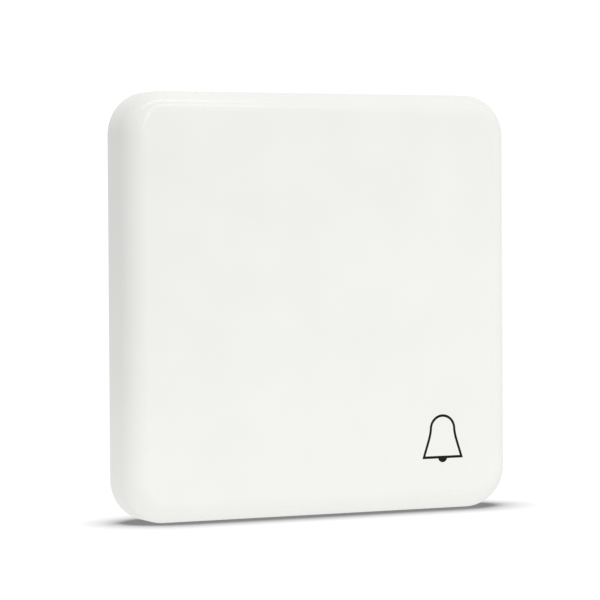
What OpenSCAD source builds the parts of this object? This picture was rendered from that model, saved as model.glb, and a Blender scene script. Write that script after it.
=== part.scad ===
// Surface-mounted wireless doorbell push: a square plate, hinged inside its top edge, that presses
// a switch on a radio board. Sizes are in millimetres.
//
// Every piece is drawn lying on its back: x to the right, y up the wall, z out from the wall.
// stand() then turns it upright, so that out from the wall becomes -Y and up the wall becomes +Z.
// The origin is the middle of the wall bracket's rear face.

/* [Push plate] */
// Width of the push plate
plate_w = 80; // [78:1:110]
// Height of the push plate
plate_h = 80; // [78:1:120]
// Depth of the push plate, from the rim of its skirt to its face
plate_d = 10; // [9.6:0.1:14]
// Thickness of its face and of its skirt
plate_wall = 2; // [1.4:0.1:2.4]
// Radius of its four corners
corner_r = 8; // [6.5:0.5:12]
// Radius of the soft edge around its face
edge_r = 4; // [2.6:0.1:5]
// Gap between the wall and the rim of the skirt
wall_gap = 4; // [3.8:0.1:6]

/* [Bell symbol] */
// Width of the symbol, between the middles of its lines
bell_w = 8.2; // [6:0.1:12]
// Height of the symbol, between the middles of its lines
bell_h = 8; // [6:0.1:12]
// Radius of its domed top
bell_dome_r = 2.55; // [1.8:0.05:3]
// Thickness of its lines
bell_line = 0.48; // [0.2:0.02:0.8]
// Radius of its clapper
clapper_r = 1; // [0.6:0.1:1.6]
// Distance of its middle from the plate's right edge
bell_from_side = 15; // [10:0.5:30]
// Distance of its base line from the plate's lower edge
bell_from_bottom = 10.2; // [8:0.1:30]
// Depth of the inlay
bell_deep = 0.3; // [0.2:0.05:0.6]

/* [Housing and wall bracket] */
// Space between the skirt and the housing
skirt_gap = 3; // [2.8:0.1:4]
// Thickness of the housing's side walls
housing_wall = 1.6; // [1.4:0.1:2]
// Thickness of the housing's floor
housing_floor = 1.4; // [1.2:0.1:2]
// Space between the housing's rim and the inside of the plate
rim_gap = 1.8; // [1.6:0.1:3]
// Thickness of the wall bracket
bracket_t = 2.4; // [2.2:0.1:3]
// Distance between the two wall screws
screw_spacing = 60; // [40:0.5:60]
// Radius of the wall screw holes
screw_hole_r = 2.1; // [1.6:0.05:2.4]
// Thickness of the adhesive pads
pad_t = 0.8; // [0.4:0.1:1]

/* [Hinge and latches] */
// Radius of the housing's hinge pins
pin_r = 1.5; // [1.2:0.05:1.8]
// Radial clearance of the hinge pins in their bores
pin_clear = 0.06; // [0.03:0.01:0.1]
// Distance of the hinge below the plate's top edge
hinge_drop = 10; // [9:0.5:14]
// Height of the hinge out from the wall
hinge_z = 8; // [7.6:0.1:9]
// How far the bell switch is pressed
press_travel = 0.8; // [0.4:0.05:0.9]
// Width of the plate's two latches
latch_w = 6; // [4:0.5:9]
// Clearance between parts that only pass each other
clear = 0.4; // [0.3:0.05:0.5]

/* [Board and cell] */
// Thickness of the circuit board
board_t = 1; // [0.8:0.1:1.6]
// Height of the board above the housing's floor
standoff = 1.6; // [1.4:0.1:2]
// Radius of the coin cell
cell_r = 10; // [8:0.5:11.5]
// Thickness of the coin cell
cell_t = 3.2; // [1.6:0.1:3.2]
// Distance of the coin cell's middle above the plate's middle
cell_y = 8; // [6:0.5:9]
// Distance of the bell switch above the plate's lower edge
switch_from_bottom = 22; // [20:0.5:24]
// Radius of the return springs, to the middle of their wire
spring_r = 2.2; // [2:0.1:2.6]
// Thickness of the spring wire
spring_wire = 0.5; // [0.3:0.05:0.6]

/* [Hidden] */
$fn = 48;

// How far a boss or rib runs into the wall it grows from, and a cut past the face it leaves
root = 0.5;
// Clearance between parts that rest against each other
touch = 0.1;
// Clearance around a piece that drops into a pocket
fit = 0.15;

// The push plate's inner faces
plate_z = wall_gap;
face_z = wall_gap + plate_d;
inner_z = face_z - plate_wall;

// The housing
housing_w = plate_w - 2 * (plate_wall + skirt_gap);
housing_h = plate_h - 2 * (plate_wall + skirt_gap);
housing_r = 3;
tray_w = housing_w - 2 * housing_wall;
tray_h = housing_h - 2 * housing_wall;
tray_r = housing_r - housing_wall;
floor_z = bracket_t + housing_floor;
rim_z = inner_z - rim_gap;

// The hinge along X: pins on the housing, ears with snap-in bores on the plate
hinge_y = plate_h / 2 - hinge_drop;
bore_r = pin_r + pin_clear;
ear_t = 1.6;
ear_wall = 1.35;
ear_r = bore_r + ear_wall;
ear_x = housing_w / 2 + clear;
ear_mouth = 1.5 * pin_r;
pin_tip = 0.3;
pin_end_x = ear_x + ear_t + pin_tip;

// The press: the plate's turn in degrees and how far any height on it moves
switch_y = switch_from_bottom - plate_h / 2;
press_turn = asin(press_travel / (hinge_y - switch_y));
function sunk(y) = (hinge_y - y) * sin(press_turn);

// The latches at the plate's lower edge
latch_from_side = 15;
latch_x = housing_w / 2 - latch_from_side;
latch_t = 1.4;
latch_tip_z = 5;
barb_z = 7;
barb_flat = 0.7;
barb_reach = 1.2;

// The bracket's hooks at the top and its tongue at the bottom
hook_from_side = 19;
hook_x = housing_w / 2 - hook_from_side;
hook_w = 8;
hook_t = 1.5;
hook_lip = 1.3;
hook_lip_t = 1.1;
hook_from_top = 1.1;
hook_top_y = tray_h / 2 - hook_from_top;
tongue_w = 12;
tongue_t = 1.3;
tongue_gap = 0.3;
tongue_y = -housing_h / 2 - tongue_gap;
tongue_top_z = 6.2;
tongue_barb = 0.8;
tongue_barb_z = 4.1;
tongue_ramp = 1.4;
tongue_slit = 1;
tongue_slit_h = 6;

// The bracket's countersinks and adhesive pads
sink_r = 3.8;
sink_deep = 1.3;
pad_w = 46;
pad_h = 15;
pad_y = 18;

// The circuit board
board_gap = 2.4;
board_w = tray_w - 2 * board_gap;
board_low = -tray_h / 2 + board_gap;
board_top_gap = 7.4;
board_high = tray_h / 2 - board_top_gap;
board_h = board_high - board_low;
board_r = 1.5;
board_z = floor_z + standoff;
top_z = board_z + board_t;

// Board screws, M2 by 3
screw_from_side = 3;
screw_from_end = 4;
screw_x = board_w / 2 - screw_from_side;
screw_ys = [board_low + screw_from_end, board_high - screw_from_end];
screw_r = 1;
screw_head_r = 1.9;
screw_head_t = 1.2;
screw_length = 3;
pilot_r = 0.8;
boss_r = 2.3;
cross_w = 0.5;
cross_l = 2.2;
cross_deep = 0.7;

// Return springs, held on posts below and by nubs in the plate above
spring_from_side = 11;
spring_x = board_w / 2 - spring_from_side;
spring_y = board_low + screw_from_end;
spring_turns = 6;
spring_seat = 0.05;
post_clear = 0.3;
post_r = spring_r - spring_wire / 2 - post_clear;
post_top_z = 7;
nub_h = 1.2;

// Tactile switches: the bell switch and the pairing switch
bell_switch_size = 6;
bell_switch_h = 3.4;
bell_cavity_r = 2.5;
bell_flange_r = 2.2;
bell_stem_r = 1.7;
bell_cover_t = 0.3;
bell_dome_rise = 0.95;
cavity_floor = 1;
stem_gap = 0.1;
bell_flange_t = bell_switch_h - bell_cover_t - cavity_floor - bell_dome_rise - 2 * stem_gap;
press_boss_h = 0.7;
boss_gap = 0.1;
stem_tip_z = inner_z - press_boss_h - boss_gap;
pairing_from_side = 10;
pairing_above_bell = 7;
pairing_x = board_w / 2 - pairing_from_side;
pairing_y = switch_y + pairing_above_bell;
pairing_switch_size = 4.5;
pairing_switch_h = 2;
pairing_cavity_r = 1.8;
pairing_flange_r = 1.5;
pairing_stem_r = 1.1;
pairing_cover_t = 0.2;
pairing_travel = 0.25;
pairing_tip = 1;
pairing_flange_t = pairing_switch_h - pairing_cover_t - cavity_floor - pairing_travel - 2 * stem_gap;
dome_t = 0.12;
terminal_t = 0.2;
terminal_w = 0.7;
terminal_reach = 1.1;
terminal_rise = 0.9;

// The coin cell and its holder
holder_base = 0.8;
holder_wall = 1.6;
holder_gap = 0.4;
holder_cup = 2.6;
holder_h = holder_base + holder_cup;
holder_r = cell_r + holder_gap + holder_wall;
holder_mouth = 9;
leaf_t = 0.3;
contact_w = 5;
contact_gap = 0.02;
clip_reach = 2.5;
cell_z = top_z + holder_base + leaf_t;
cell_step_r = 1.1;
cell_step_t = 0.5;

// Columns of parts beside the holder, and their heights beside the cell's middle
left_from_side = 10.5;
right_from_side = 10;
left_x = left_from_side - board_w / 2;
right_x = board_w / 2 - right_from_side;
outer_left_x = left_x - 6;
inner_left_x = left_x + 5;
inner_right_x = right_x - 2;
lower_right_x = right_x - 5;
outer_right_x = right_x + 2;
controller_y = cell_y - 10;
radio_y = cell_y + 5;
led_y = cell_y - 2;
reservoir_y = cell_y + 7;
crystal_y = cell_y - 1;

// Chips: width, height and thickness of their bodies, and their leads
controller_size = [4, 8.6, 1.5];
controller_leads = 7;
controller_pitch = 1.27;
controller_reach = 1.1;
radio_size = [4.4, 5, 1];
radio_leads = 8;
radio_pitch = 0.65;
radio_reach = 0.9;
chip_gap = 0.1;
lead_w = 0.4;
lead_t = 0.15;
mark_r = 0.35;
mark_inset = 0.9;
mark_deep = 0.1;

// Other parts on the board
crystal_size = [2.5, 3.6, 0.8];
crystal_lid_t = 0.2;
crystal_lid_inset = 0.2;
crystal_r = 0.4;
led_size = [2, 3.2, 0.8];
led_lens_r = 0.9;
led_lens_t = 0.5;
reservoir_size = [3.2, 6, 2.5];
small_size = [1.6, 0.8];
small_pitch = 1.8;
capacitor_t = 0.8;
resistor_t = 0.5;

// The aerial: a coil that lies along the board's top edge
antenna_turns = 8;
antenna_r = 1.7;
antenna_wire = 0.6;
antenna_l = 17;
antenna_from_end = 2.6;

// ---------------------------------------------------------------- shared shapes

// Turns a piece that lies on its back upright against the wall
module stand() {
    rotate([90, 0, 0]) children();
}

// A block about the z axis between two heights
module slab(w, h, z0, z1) {
    translate([-w / 2, -h / 2, z0]) cube([w, h, z1 - z0]);
}

// A round bar about the z axis between two heights
module drum(r, z0, z1) {
    translate([0, 0, z0]) cylinder(r = r, h = z1 - z0);
}

// A rectangle with rounded corners
module rounded_rect(w, h, r) {
    square([w - 2 * r, h], center = true);
    square([w, h - 2 * r], center = true);
    for (sx = [-1, 1], sy = [-1, 1])
        translate([sx * (w / 2 - r), sy * (h / 2 - r)]) circle(r);
}

// A block with rounded corners between two heights
module rounded_slab(w, h, r, z0, z1) {
    translate([0, 0, z0]) linear_extrude(z1 - z0) rounded_rect(w, h, r);
}

// Copies a piece to the left and the right
module both_sides() {
    children();
    mirror([1, 0, 0]) children();
}

// Draws an outline in y and z, and gives it a width along x from x0
module across(x0, w) {
    translate([x0, 0, 0]) rotate([90, 0, 90]) linear_extrude(w) children();
}

// Section of a soft edge: r wide and d high, with a round of radius e at its outer top
module edge_section(r, d, e) {
    square([r, d - e]);
    square([r - e, d]);
    translate([r - e, d - e]) intersection() {
        circle(e);
        square(e);
    }
}

// A block from z = 0 to z = d with corners of radius r and a front edge rounded by e
module soft_block(w, h, d, r, e) {
    slab(w - 2 * r, h - 2 * r, 0, d);
    for (turn = [0, 180]) rotate(turn) {
        translate([w / 2 - r, h / 2 - r, 0]) rotate([90, 0, 0]) linear_extrude(h - 2 * r)
            edge_section(r, d, e);
        translate([r - w / 2, h / 2 - r, 0]) rotate([90, 0, 90]) linear_extrude(w - 2 * r)
            edge_section(r, d, e);
        translate([w / 2 - r, h / 2 - r, 0]) rotate_extrude(angle = 90) edge_section(r, d, e);
        translate([r - w / 2, h / 2 - r, 0]) rotate(90) rotate_extrude(angle = 90)
            edge_section(r, d, e);
    }
}

// Points of a wire coiled about z, ring by ring: radius r, wire radius w, height as a list
COIL_SIDES = 6;
COIL_STEPS = 14;
function ring(r, w, a, z) = [
    for (i = [0:COIL_SIDES - 1]) let (b = 360 * i / COIL_SIDES)
        [(r + w * cos(b)) * cos(a), (r + w * cos(b)) * sin(a), z + w * sin(b)]
];
function coil_faces(rings) = [
    [for (i = [0:COIL_SIDES - 1]) i],
    for (k = [0:rings - 2], i = [0:COIL_SIDES - 1]) let (j = (i + 1) % COIL_SIDES)
        [k * COIL_SIDES + i, (k + 1) * COIL_SIDES + i, (k + 1) * COIL_SIDES + j, k * COIL_SIDES + j],
    [for (i = [COIL_SIDES - 1:-1:0]) (rings - 1) * COIL_SIDES + i]
];

// A wire coil from z0 to z1, whose first and last turns lie closed
module coil(r, wire, turns, z0, z1) {
    steps = turns * COIL_STEPS;
    open_turns = turns - 2;
    low = z0 + wire / 2;
    rise = z1 - z0 - 3 * wire;
    heights = [
        for (k = [0:steps]) let (t = k / COIL_STEPS)
            low + wire * min(t, 1) + rise * min(max(t - 1, 0), open_turns) / open_turns
                + wire * max(t - 1 - open_turns, 0)
    ];
    points = [for (k = [0:steps]) each ring(r, wire / 2, 360 * k / COIL_STEPS, heights[k])];
    polyhedron(points, coil_faces(steps + 1), convexity = 8);
}

// ---------------------------------------------------------------- bell symbol

bell_x = plate_w / 2 - bell_from_side;
bell_y = bell_from_bottom - plate_h / 2;
// The flank from the dome down to the base corner is one Bezier curve
dome_y = bell_h - bell_dome_r;
flank = [
    [bell_dome_r, dome_y],
    [bell_dome_r + 0.1 * (bell_w / 2 - bell_dome_r), 0.7 * dome_y],
    [bell_dome_r + 0.48 * (bell_w / 2 - bell_dome_r), 0.48 * dome_y],
    [bell_w / 2, 0]
];
function bezier(p, t) =
    pow(1 - t, 3) * p[0] + 3 * t * pow(1 - t, 2) * p[1] + 3 * t * t * (1 - t) * p[2] + pow(t, 3) * p[3];
flank_points = [for (t = [0:0.1:1]) bezier(flank, t)];

module bell_outline() {
    translate([0, dome_y]) circle(bell_dome_r);
    polygon(concat(flank_points, [for (i = [10:-1:0]) [-flank_points[i].x, flank_points[i].y]]));
}

// The symbol's lines and its filled clapper, with the base line at y = 0
module bell_lines() {
    difference() {
        offset(delta = bell_line / 2) bell_outline();
        offset(delta = -bell_line / 2) bell_outline();
    }
    intersection() {
        circle(clapper_r);
        translate([-clapper_r, -2 * clapper_r]) square(2 * clapper_r);
    }
}

module bell_cut(z0, z1) {
    translate([bell_x, bell_y, z0]) linear_extrude(z1 - z0) bell_lines();
}

module bell_symbol() {
    color("black") stand() bell_cut(face_z - bell_deep, face_z);
}

// ---------------------------------------------------------------- push plate

// An ear that snaps over a hinge pin: its mouth opens towards the wall
module hinge_ear() {
    across(ear_x, ear_t) difference() {
        union() {
            translate([hinge_y, hinge_z]) circle(ear_r);
            translate([hinge_y - ear_r, hinge_z]) square([2 * ear_r, inner_z - hinge_z + root]);
        }
        translate([hinge_y, hinge_z]) circle(bore_r);
        translate([hinge_y - ear_mouth / 2, hinge_z - ear_r - root])
            square([ear_mouth, ear_r + root]);
    }
}

// A latch arm that runs back beside the housing, with a barb for the housing's window
module latch() {
    arm_y = -housing_h / 2 - clear;
    barb_y = -housing_h / 2 + barb_reach;
    across(latch_x - latch_w / 2, latch_w) polygon([
        [arm_y - latch_t, inner_z + root],
        [arm_y - latch_t, latch_tip_z],
        [arm_y, latch_tip_z],
        [barb_y, barb_z - barb_flat],
        [barb_y, barb_z],
        [arm_y, barb_z],
        [arm_y, inner_z + root]
    ]);
}

// Ribs that stiffen the face around the battery and the switch
rib_t = 1;
rib_h = 1;
rib_x = 15;
rib_end = 4;
rib_below_switch = 5;
rib_above_switch = 6;
module face_ribs() {
    rib_low = switch_y - rib_below_switch;
    for (y = [rib_low, switch_y + rib_above_switch])
        translate([0, y, 0]) slab(housing_w - 2 * rib_end, rib_t, inner_z - rib_h, inner_z + root);
    rib_high = hinge_y - rib_end;
    both_sides() translate([rib_x, (rib_low + rib_high) / 2, 0])
        slab(rib_t, rib_high - rib_low, inner_z - rib_h, inner_z + root);
}

module push_plate() {
    color([0.94, 0.94, 0.92]) stand() {
        difference() {
            translate([0, 0, plate_z]) soft_block(plate_w, plate_h, plate_d, corner_r, edge_r);
            translate([0, 0, plate_z - root]) soft_block(
                plate_w - 2 * plate_wall,
                plate_h - 2 * plate_wall,
                plate_d - plate_wall + root,
                corner_r - plate_wall,
                edge_r - plate_wall
            );
            bell_cut(face_z - bell_deep, face_z + root);
        }
        both_sides() hinge_ear();
        both_sides() latch();
        both_sides() translate([spring_x, spring_y, 0]) drum(post_r, inner_z - nub_h, inner_z + root);
        translate([0, switch_y, 0]) drum(bell_flange_r, inner_z - press_boss_h, inner_z + root);
        face_ribs();
    }
}

// Soft pads that land on the housing's rim at the end of the press
bumper_w = 6;
module stop_bumpers() {
    bumper_y = -(tray_h + housing_wall) / 2;
    bumper_t = rim_gap - sunk(-housing_h / 2) - touch / 2;
    color("dimgray") stand() both_sides() translate([bumper_w, bumper_y, 0])
        slab(bumper_w, housing_wall, inner_z - bumper_t, inner_z);
}

// ---------------------------------------------------------------- wall bracket

module wall_screw_hole() {
    drum(screw_hole_r, -root, bracket_t + root);
    translate([0, 0, bracket_t - sink_deep])
        cylinder(r1 = screw_hole_r, r2 = sink_r, h = sink_deep);
}

// An L-shaped hook that the housing hangs on
module top_hook() {
    across(hook_x - hook_w / 2, hook_w) polygon([
        [hook_top_y - hook_lip - hook_t, bracket_t - root],
        [hook_top_y - hook_lip, bracket_t - root],
        [hook_top_y - hook_lip, floor_z + fit],
        [hook_top_y, floor_z + fit],
        [hook_top_y, floor_z + fit + hook_lip_t],
        [hook_top_y - hook_lip - hook_t, floor_z + fit + hook_lip_t]
    ]);
}

// A springy tongue whose barb holds the housing down
module tongue() {
    across(-tongue_w / 2, tongue_w) polygon([
        [tongue_y - tongue_t, 0],
        [tongue_y + tongue_t, 0],
        [tongue_y + tongue_t, bracket_t - fit],
        [tongue_y, bracket_t - fit],
        [tongue_y, tongue_barb_z],
        [tongue_y + tongue_barb, tongue_barb_z],
        [tongue_y + tongue_barb, tongue_barb_z + touch],
        [tongue_y, tongue_barb_z + tongue_ramp],
        [tongue_y, tongue_top_z],
        [tongue_y - tongue_t, tongue_top_z]
    ]);
}

module pad_places() {
    for (y = [-pad_y, pad_y]) translate([0, y, 0]) children();
}

module wall_bracket() {
    color("whitesmoke") stand() {
        difference() {
            rounded_slab(housing_w, housing_h, housing_r, 0, bracket_t);
            both_sides() translate([screw_spacing / 2, 0, 0]) wall_screw_hole();
            pad_places() slab(pad_w, pad_h, -root, pad_t);
            both_sides() translate([(tongue_w + tongue_slit) / 2, tongue_slit_h / 2 - housing_h / 2, 0])
                slab(tongue_slit, tongue_slit_h + root, -root, bracket_t + root);
            translate([0, -housing_h / 2, 0]) slab(tongue_w, 2 * tongue_t, bracket_t - fit, bracket_t + root);
        }
        both_sides() top_hook();
        tongue();
    }
}

module adhesive_pads() {
    color("lightgray") stand() pad_places() slab(pad_w - 2 * fit, pad_h - 2 * fit, 0, pad_t - touch / 2);
}

// ---------------------------------------------------------------- housing

module hinge_pin() {
    translate([housing_w / 2 - root, hinge_y, hinge_z]) rotate([0, 90, 0]) {
        cylinder(r = pin_r, h = pin_end_x - housing_w / 2 + root - pin_tip);
        translate([0, 0, pin_end_x - housing_w / 2 + root - pin_tip])
            cylinder(r1 = pin_r, r2 = pin_r - pin_tip, h = pin_tip);
    }
}

// A post for a board screw, with its pilot hole
module screw_boss() {
    difference() {
        drum(boss_r, floor_z - root, board_z);
        drum(pilot_r, top_z - screw_length - root, board_z + root);
    }
}

module screw_places() {
    for (y = screw_ys) both_sides() translate([screw_x, y, 0]) children();
}

module housing() {
    slot_h = hook_t + hook_lip + 2 * clear;
    slot_high = hook_top_y - hook_lip + fit;
    window_low = floor_z;
    window_high = barb_z + touch;
    color("white") stand() {
        difference() {
            rounded_slab(housing_w, housing_h, housing_r, bracket_t, rim_z);
            rounded_slab(tray_w, tray_h, tray_r, floor_z, rim_z + root);
            both_sides() translate([hook_x, slot_high - slot_h / 2, 0])
                slab(hook_w + 2 * clear, slot_h, bracket_t - root, floor_z + root);
            both_sides() translate([latch_x, -housing_h / 2, 0])
                slab(latch_w + 2 * clear, 4 * housing_wall, window_low, window_high);
            translate([0, tongue_y, 0])
                slab(tongue_w + 2 * clear, 2 * (tongue_barb + fit), tongue_barb_z - fit, tongue_top_z);
            screw_places() drum(pilot_r, top_z - screw_length - root, floor_z + root);
        }
        both_sides() hinge_pin();
        screw_places() screw_boss();
        both_sides() translate([spring_x, spring_y, 0]) drum(post_r, floor_z - root, post_top_z);
    }
}

// ---------------------------------------------------------------- springs and board

module return_springs() {
    color("silver") stand() both_sides() translate([spring_x, spring_y, 0])
        coil(spring_r, spring_wire, spring_turns, floor_z + spring_seat, inner_z - spring_seat);
}

module circuit_board() {
    color("darkgreen") stand() difference() {
        translate([0, (board_high + board_low) / 2, 0])
            rounded_slab(board_w, board_h, board_r, board_z, top_z);
        screw_places() drum(screw_r + touch, board_z - root, top_z + root);
        both_sides() translate([spring_x, spring_y, 0])
            drum(spring_r + spring_wire / 2 + clear, board_z - root, top_z + root);
    }
}

// Pan-head screws with a cross recess
module board_screw() {
    difference() {
        union() {
            drum(screw_head_r, top_z, top_z + screw_head_t);
            drum(screw_r - touch / 2, board_z, top_z);
            drum(pilot_r, top_z - screw_length, board_z);
        }
        for (turn = [0, 90]) rotate(turn)
            slab(cross_w, cross_l, top_z + screw_head_t - cross_deep, top_z + screw_head_t + root);
    }
}

module board_screws() {
    color("silver") stand() screw_places() board_screw();
}

// ---------------------------------------------------------------- tactile switches

// The moulded base of a switch, hollow for its dome and the flange of its stem
module switch_base(size, h, cover_t, cavity_r) {
    difference() {
        slab(size, size, top_z, top_z + h - cover_t);
        drum(cavity_r, top_z + cavity_floor, top_z + h);
    }
}

// The metal plate that closes a switch and keeps its stem in
module switch_cover(size, h, cover_t, stem_r) {
    difference() {
        slab(size, size, top_z + h - cover_t, top_z + h);
        drum(stem_r + stem_gap, top_z + h - cover_t - root, top_z + h + root);
    }
}

// A plunger with a flange that stays under the cover plate
module switch_stem(h, cover_t, stem_r, flange_r, flange_t, tip_z) {
    flange_top = top_z + h - cover_t - stem_gap;
    drum(flange_r, flange_top - flange_t, flange_top);
    drum(stem_r, flange_top - flange_t, tip_z);
}

// A shallow sprung dome of sheet metal, r wide and rise high
module snap_dome(r, rise, z0) {
    ball = (r * r + rise * rise) / (2 * rise);
    translate([0, 0, z0]) rotate_extrude() intersection() {
        translate([0, rise - ball]) difference() {
            circle(ball);
            circle(ball - dome_t);
        }
        square([r, rise]);
    }
}

module at_bell_switch() {
    translate([0, switch_y, 0]) children();
}

module at_pairing_switch() {
    translate([pairing_x, pairing_y, 0]) children();
}

module bell_switch_base() {
    color([0.1, 0.1, 0.1]) stand() at_bell_switch()
        switch_base(bell_switch_size, bell_switch_h, bell_cover_t, bell_cavity_r);
}

module bell_switch_cover() {
    color("silver") stand() at_bell_switch()
        switch_cover(bell_switch_size, bell_switch_h, bell_cover_t, bell_stem_r);
}

module bell_switch_dome() {
    color("goldenrod") stand() at_bell_switch()
        snap_dome(bell_flange_r, bell_dome_rise, top_z + cavity_floor);
}

module bell_switch_stem() {
    color("dimgray") stand() at_bell_switch() switch_stem(
        bell_switch_h, bell_cover_t, bell_stem_r, bell_flange_r, bell_flange_t, stem_tip_z
    );
}

module pairing_switch_base() {
    color([0.1, 0.1, 0.1]) stand() at_pairing_switch()
        switch_base(pairing_switch_size, pairing_switch_h, pairing_cover_t, pairing_cavity_r);
}

module pairing_switch_cover() {
    color("silver") stand() at_pairing_switch()
        switch_cover(pairing_switch_size, pairing_switch_h, pairing_cover_t, pairing_stem_r);
}

module pairing_switch_stem() {
    color("firebrick") stand() at_pairing_switch() switch_stem(
        pairing_switch_h, pairing_cover_t, pairing_stem_r, pairing_flange_r, pairing_flange_t,
        top_z + pairing_switch_h + pairing_tip
    );
}

// A bent terminal: down a switch's side and out over the board
module terminal(size) {
    side = size / 2;
    across(-terminal_w / 2, terminal_w) polygon([
        [side, top_z],
        [side + terminal_reach, top_z],
        [side + terminal_reach, top_z + terminal_t],
        [side + terminal_t, top_z + terminal_t],
        [side + terminal_t, top_z + terminal_rise],
        [side, top_z + terminal_rise]
    ]);
}

module four_terminals(size) {
    for (turn = [0, 180], side = [-1, 1])
        rotate(turn) translate([side * size / 3, 0, 0]) terminal(size);
}

module switch_terminals() {
    color("silver") stand() {
        at_bell_switch() four_terminals(bell_switch_size);
        at_pairing_switch() four_terminals(pairing_switch_size);
    }
}

// ---------------------------------------------------------------- coin cell

module at_cell() {
    translate([0, cell_y, 0]) children();
}

// A moulded cup, open at its lower side so that the cell can be pushed out, and above for its clip
module cell_holder() {
    color([0.12, 0.12, 0.12]) stand() at_cell() difference() {
        drum(holder_r, top_z, top_z + holder_h);
        drum(cell_r + holder_gap, top_z + holder_base, top_z + holder_h + root);
        for (side = [-1, 1]) translate([0, side * holder_r, 0])
            slab(holder_mouth, holder_r, top_z + holder_base, top_z + holder_h + root);
    }
}

// The can, and the smaller cap that makes the minus pole below it
module coin_cell() {
    color("gainsboro") stand() at_cell() {
        drum(cell_r, cell_z + cell_step_t, cell_z + cell_t);
        drum(cell_r - cell_step_r, cell_z, cell_z + cell_step_t);
    }
}

// A flat leaf under the cell
module cell_contact_minus() {
    color("gold") stand() at_cell()
        slab(contact_w, cell_r, top_z + holder_base, cell_z - contact_gap);
}

// A clip that climbs the holder's open upper side and bends over the cell's edge
module cell_contact_plus() {
    clip_y = cell_r + holder_gap;
    clip_z = cell_z + cell_t + contact_gap;
    color("gold") stand() at_cell() across(-contact_w / 2, contact_w) polygon([
        [cell_r - clip_reach, clip_z],
        [clip_y - leaf_t, clip_z],
        [clip_y - leaf_t, top_z + holder_base],
        [clip_y, top_z + holder_base],
        [clip_y, clip_z + leaf_t],
        [cell_r - clip_reach, clip_z + leaf_t]
    ]);
}

// ---------------------------------------------------------------- electronic parts

module at_controller() {
    translate([left_x, controller_y, 0]) children();
}

module at_radio() {
    translate([left_x, radio_y, 0]) children();
}

// A moulded chip body that stands just clear of the board, with a round orientation mark
module chip_body(size) {
    body_top = top_z + chip_gap + size.z;
    difference() {
        slab(size.x, size.y, top_z + chip_gap, body_top);
        translate([mark_inset - size.x / 2, size.y / 2 - mark_inset, 0])
            drum(mark_r, body_top - mark_deep, body_top + root);
    }
}

// Gull-wing leads along both long sides of a chip
module gull_leads(size, count, pitch, reach) {
    mid_z = top_z + chip_gap + size.z / 2;
    for (turn = [0, 180], k = [0:count - 1])
        rotate(turn) translate([size.x / 2, (k - (count - 1) / 2) * pitch, 0]) rotate(-90)
            across(-lead_w / 2, lead_w) polygon([
                [0, mid_z],
                [reach / 2, mid_z],
                [reach / 2, top_z + lead_t],
                [reach, top_z + lead_t],
                [reach, top_z],
                [reach / 2 - lead_t, top_z],
                [reach / 2 - lead_t, mid_z - lead_t],
                [0, mid_z - lead_t]
            ]);
}

module controller_chip() {
    color([0.08, 0.08, 0.08]) stand() at_controller() chip_body(controller_size);
}

module radio_chip() {
    color([0.08, 0.08, 0.08]) stand() at_radio() chip_body(radio_size);
}

module chip_leads() {
    color("silver") stand() {
        at_controller()
            gull_leads(controller_size, controller_leads, controller_pitch, controller_reach);
        at_radio() gull_leads(radio_size, radio_leads, radio_pitch, radio_reach);
    }
}

module crystal() {
    can_top = top_z + crystal_size.z;
    color("silver") stand() translate([inner_left_x, crystal_y, 0]) {
        rounded_slab(crystal_size.x, crystal_size.y, crystal_r, top_z, can_top);
        rounded_slab(
            crystal_size.x - 2 * crystal_lid_inset,
            crystal_size.y - 2 * crystal_lid_inset,
            crystal_r - crystal_lid_inset / 2,
            can_top,
            can_top + crystal_lid_t
        );
    }
}

module antenna_coil() {
    color("peru") stand()
        translate([-antenna_l / 2, board_high - antenna_from_end, top_z + antenna_r + antenna_wire / 2])
            rotate([0, 90, 0]) coil(antenna_r, antenna_wire, antenna_turns, 0, antenna_l);
}

module status_led() {
    lens_z = top_z + led_size.z;
    color("white") stand() translate([outer_right_x, led_y, 0]) {
        slab(led_size.x, led_size.y, top_z, lens_z);
        drum(led_lens_r, lens_z, lens_z + led_lens_t);
    }
}

module reservoir_capacitor() {
    color("darkgoldenrod") stand() translate([outer_right_x, reservoir_y, 0])
        slab(reservoir_size.x, reservoir_size.y, top_z, top_z + reservoir_size.z);
}

// A column of small two-ended parts, t thick, about a height y
module part_column(x, y, count, t) {
    for (k = [0:count - 1]) translate([x, y + (k - (count - 1) / 2) * small_pitch, 0])
        slab(small_size.x, small_size.y, top_z, top_z + t);
}

module chip_capacitors() {
    color("tan") stand() {
        part_column(inner_left_x, controller_y - 2.3, 4, capacitor_t);
        part_column(inner_right_x, led_y, 3, capacitor_t);
    }
}

module chip_resistors() {
    color([0.15, 0.15, 0.17]) stand() {
        part_column(outer_left_x, radio_y, 5, resistor_t);
        part_column(lower_right_x, pairing_y, 4, resistor_t);
    }
}

// ---------------------------------------------------------------- what is drawn

wall_bracket();
adhesive_pads();
housing();
push_plate();
bell_symbol();
stop_bumpers();
return_springs();
circuit_board();
board_screws();
bell_switch_base();
bell_switch_cover();
bell_switch_dome();
bell_switch_stem();
pairing_switch_base();
pairing_switch_cover();
pairing_switch_stem();
switch_terminals();
cell_holder();
coin_cell();
cell_contact_minus();
cell_contact_plus();
controller_chip();
radio_chip();
chip_leads();
crystal();
antenna_coil();
status_led();
reservoir_capacitor();
chip_capacitors();
chip_resistors();
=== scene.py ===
"""Looks of a square white wireless doorbell push, built around its CAD frame.

Everything is in metres, in the frame's own axes: +Z up the wall, +Y into the wall, so the
plate faces -Y. "Depth" means the distance out from the wall, which is -Y.
"""

import math
from contextlib import contextmanager

import bmesh
import bpy
from mathutils import Matrix, Vector


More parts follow.
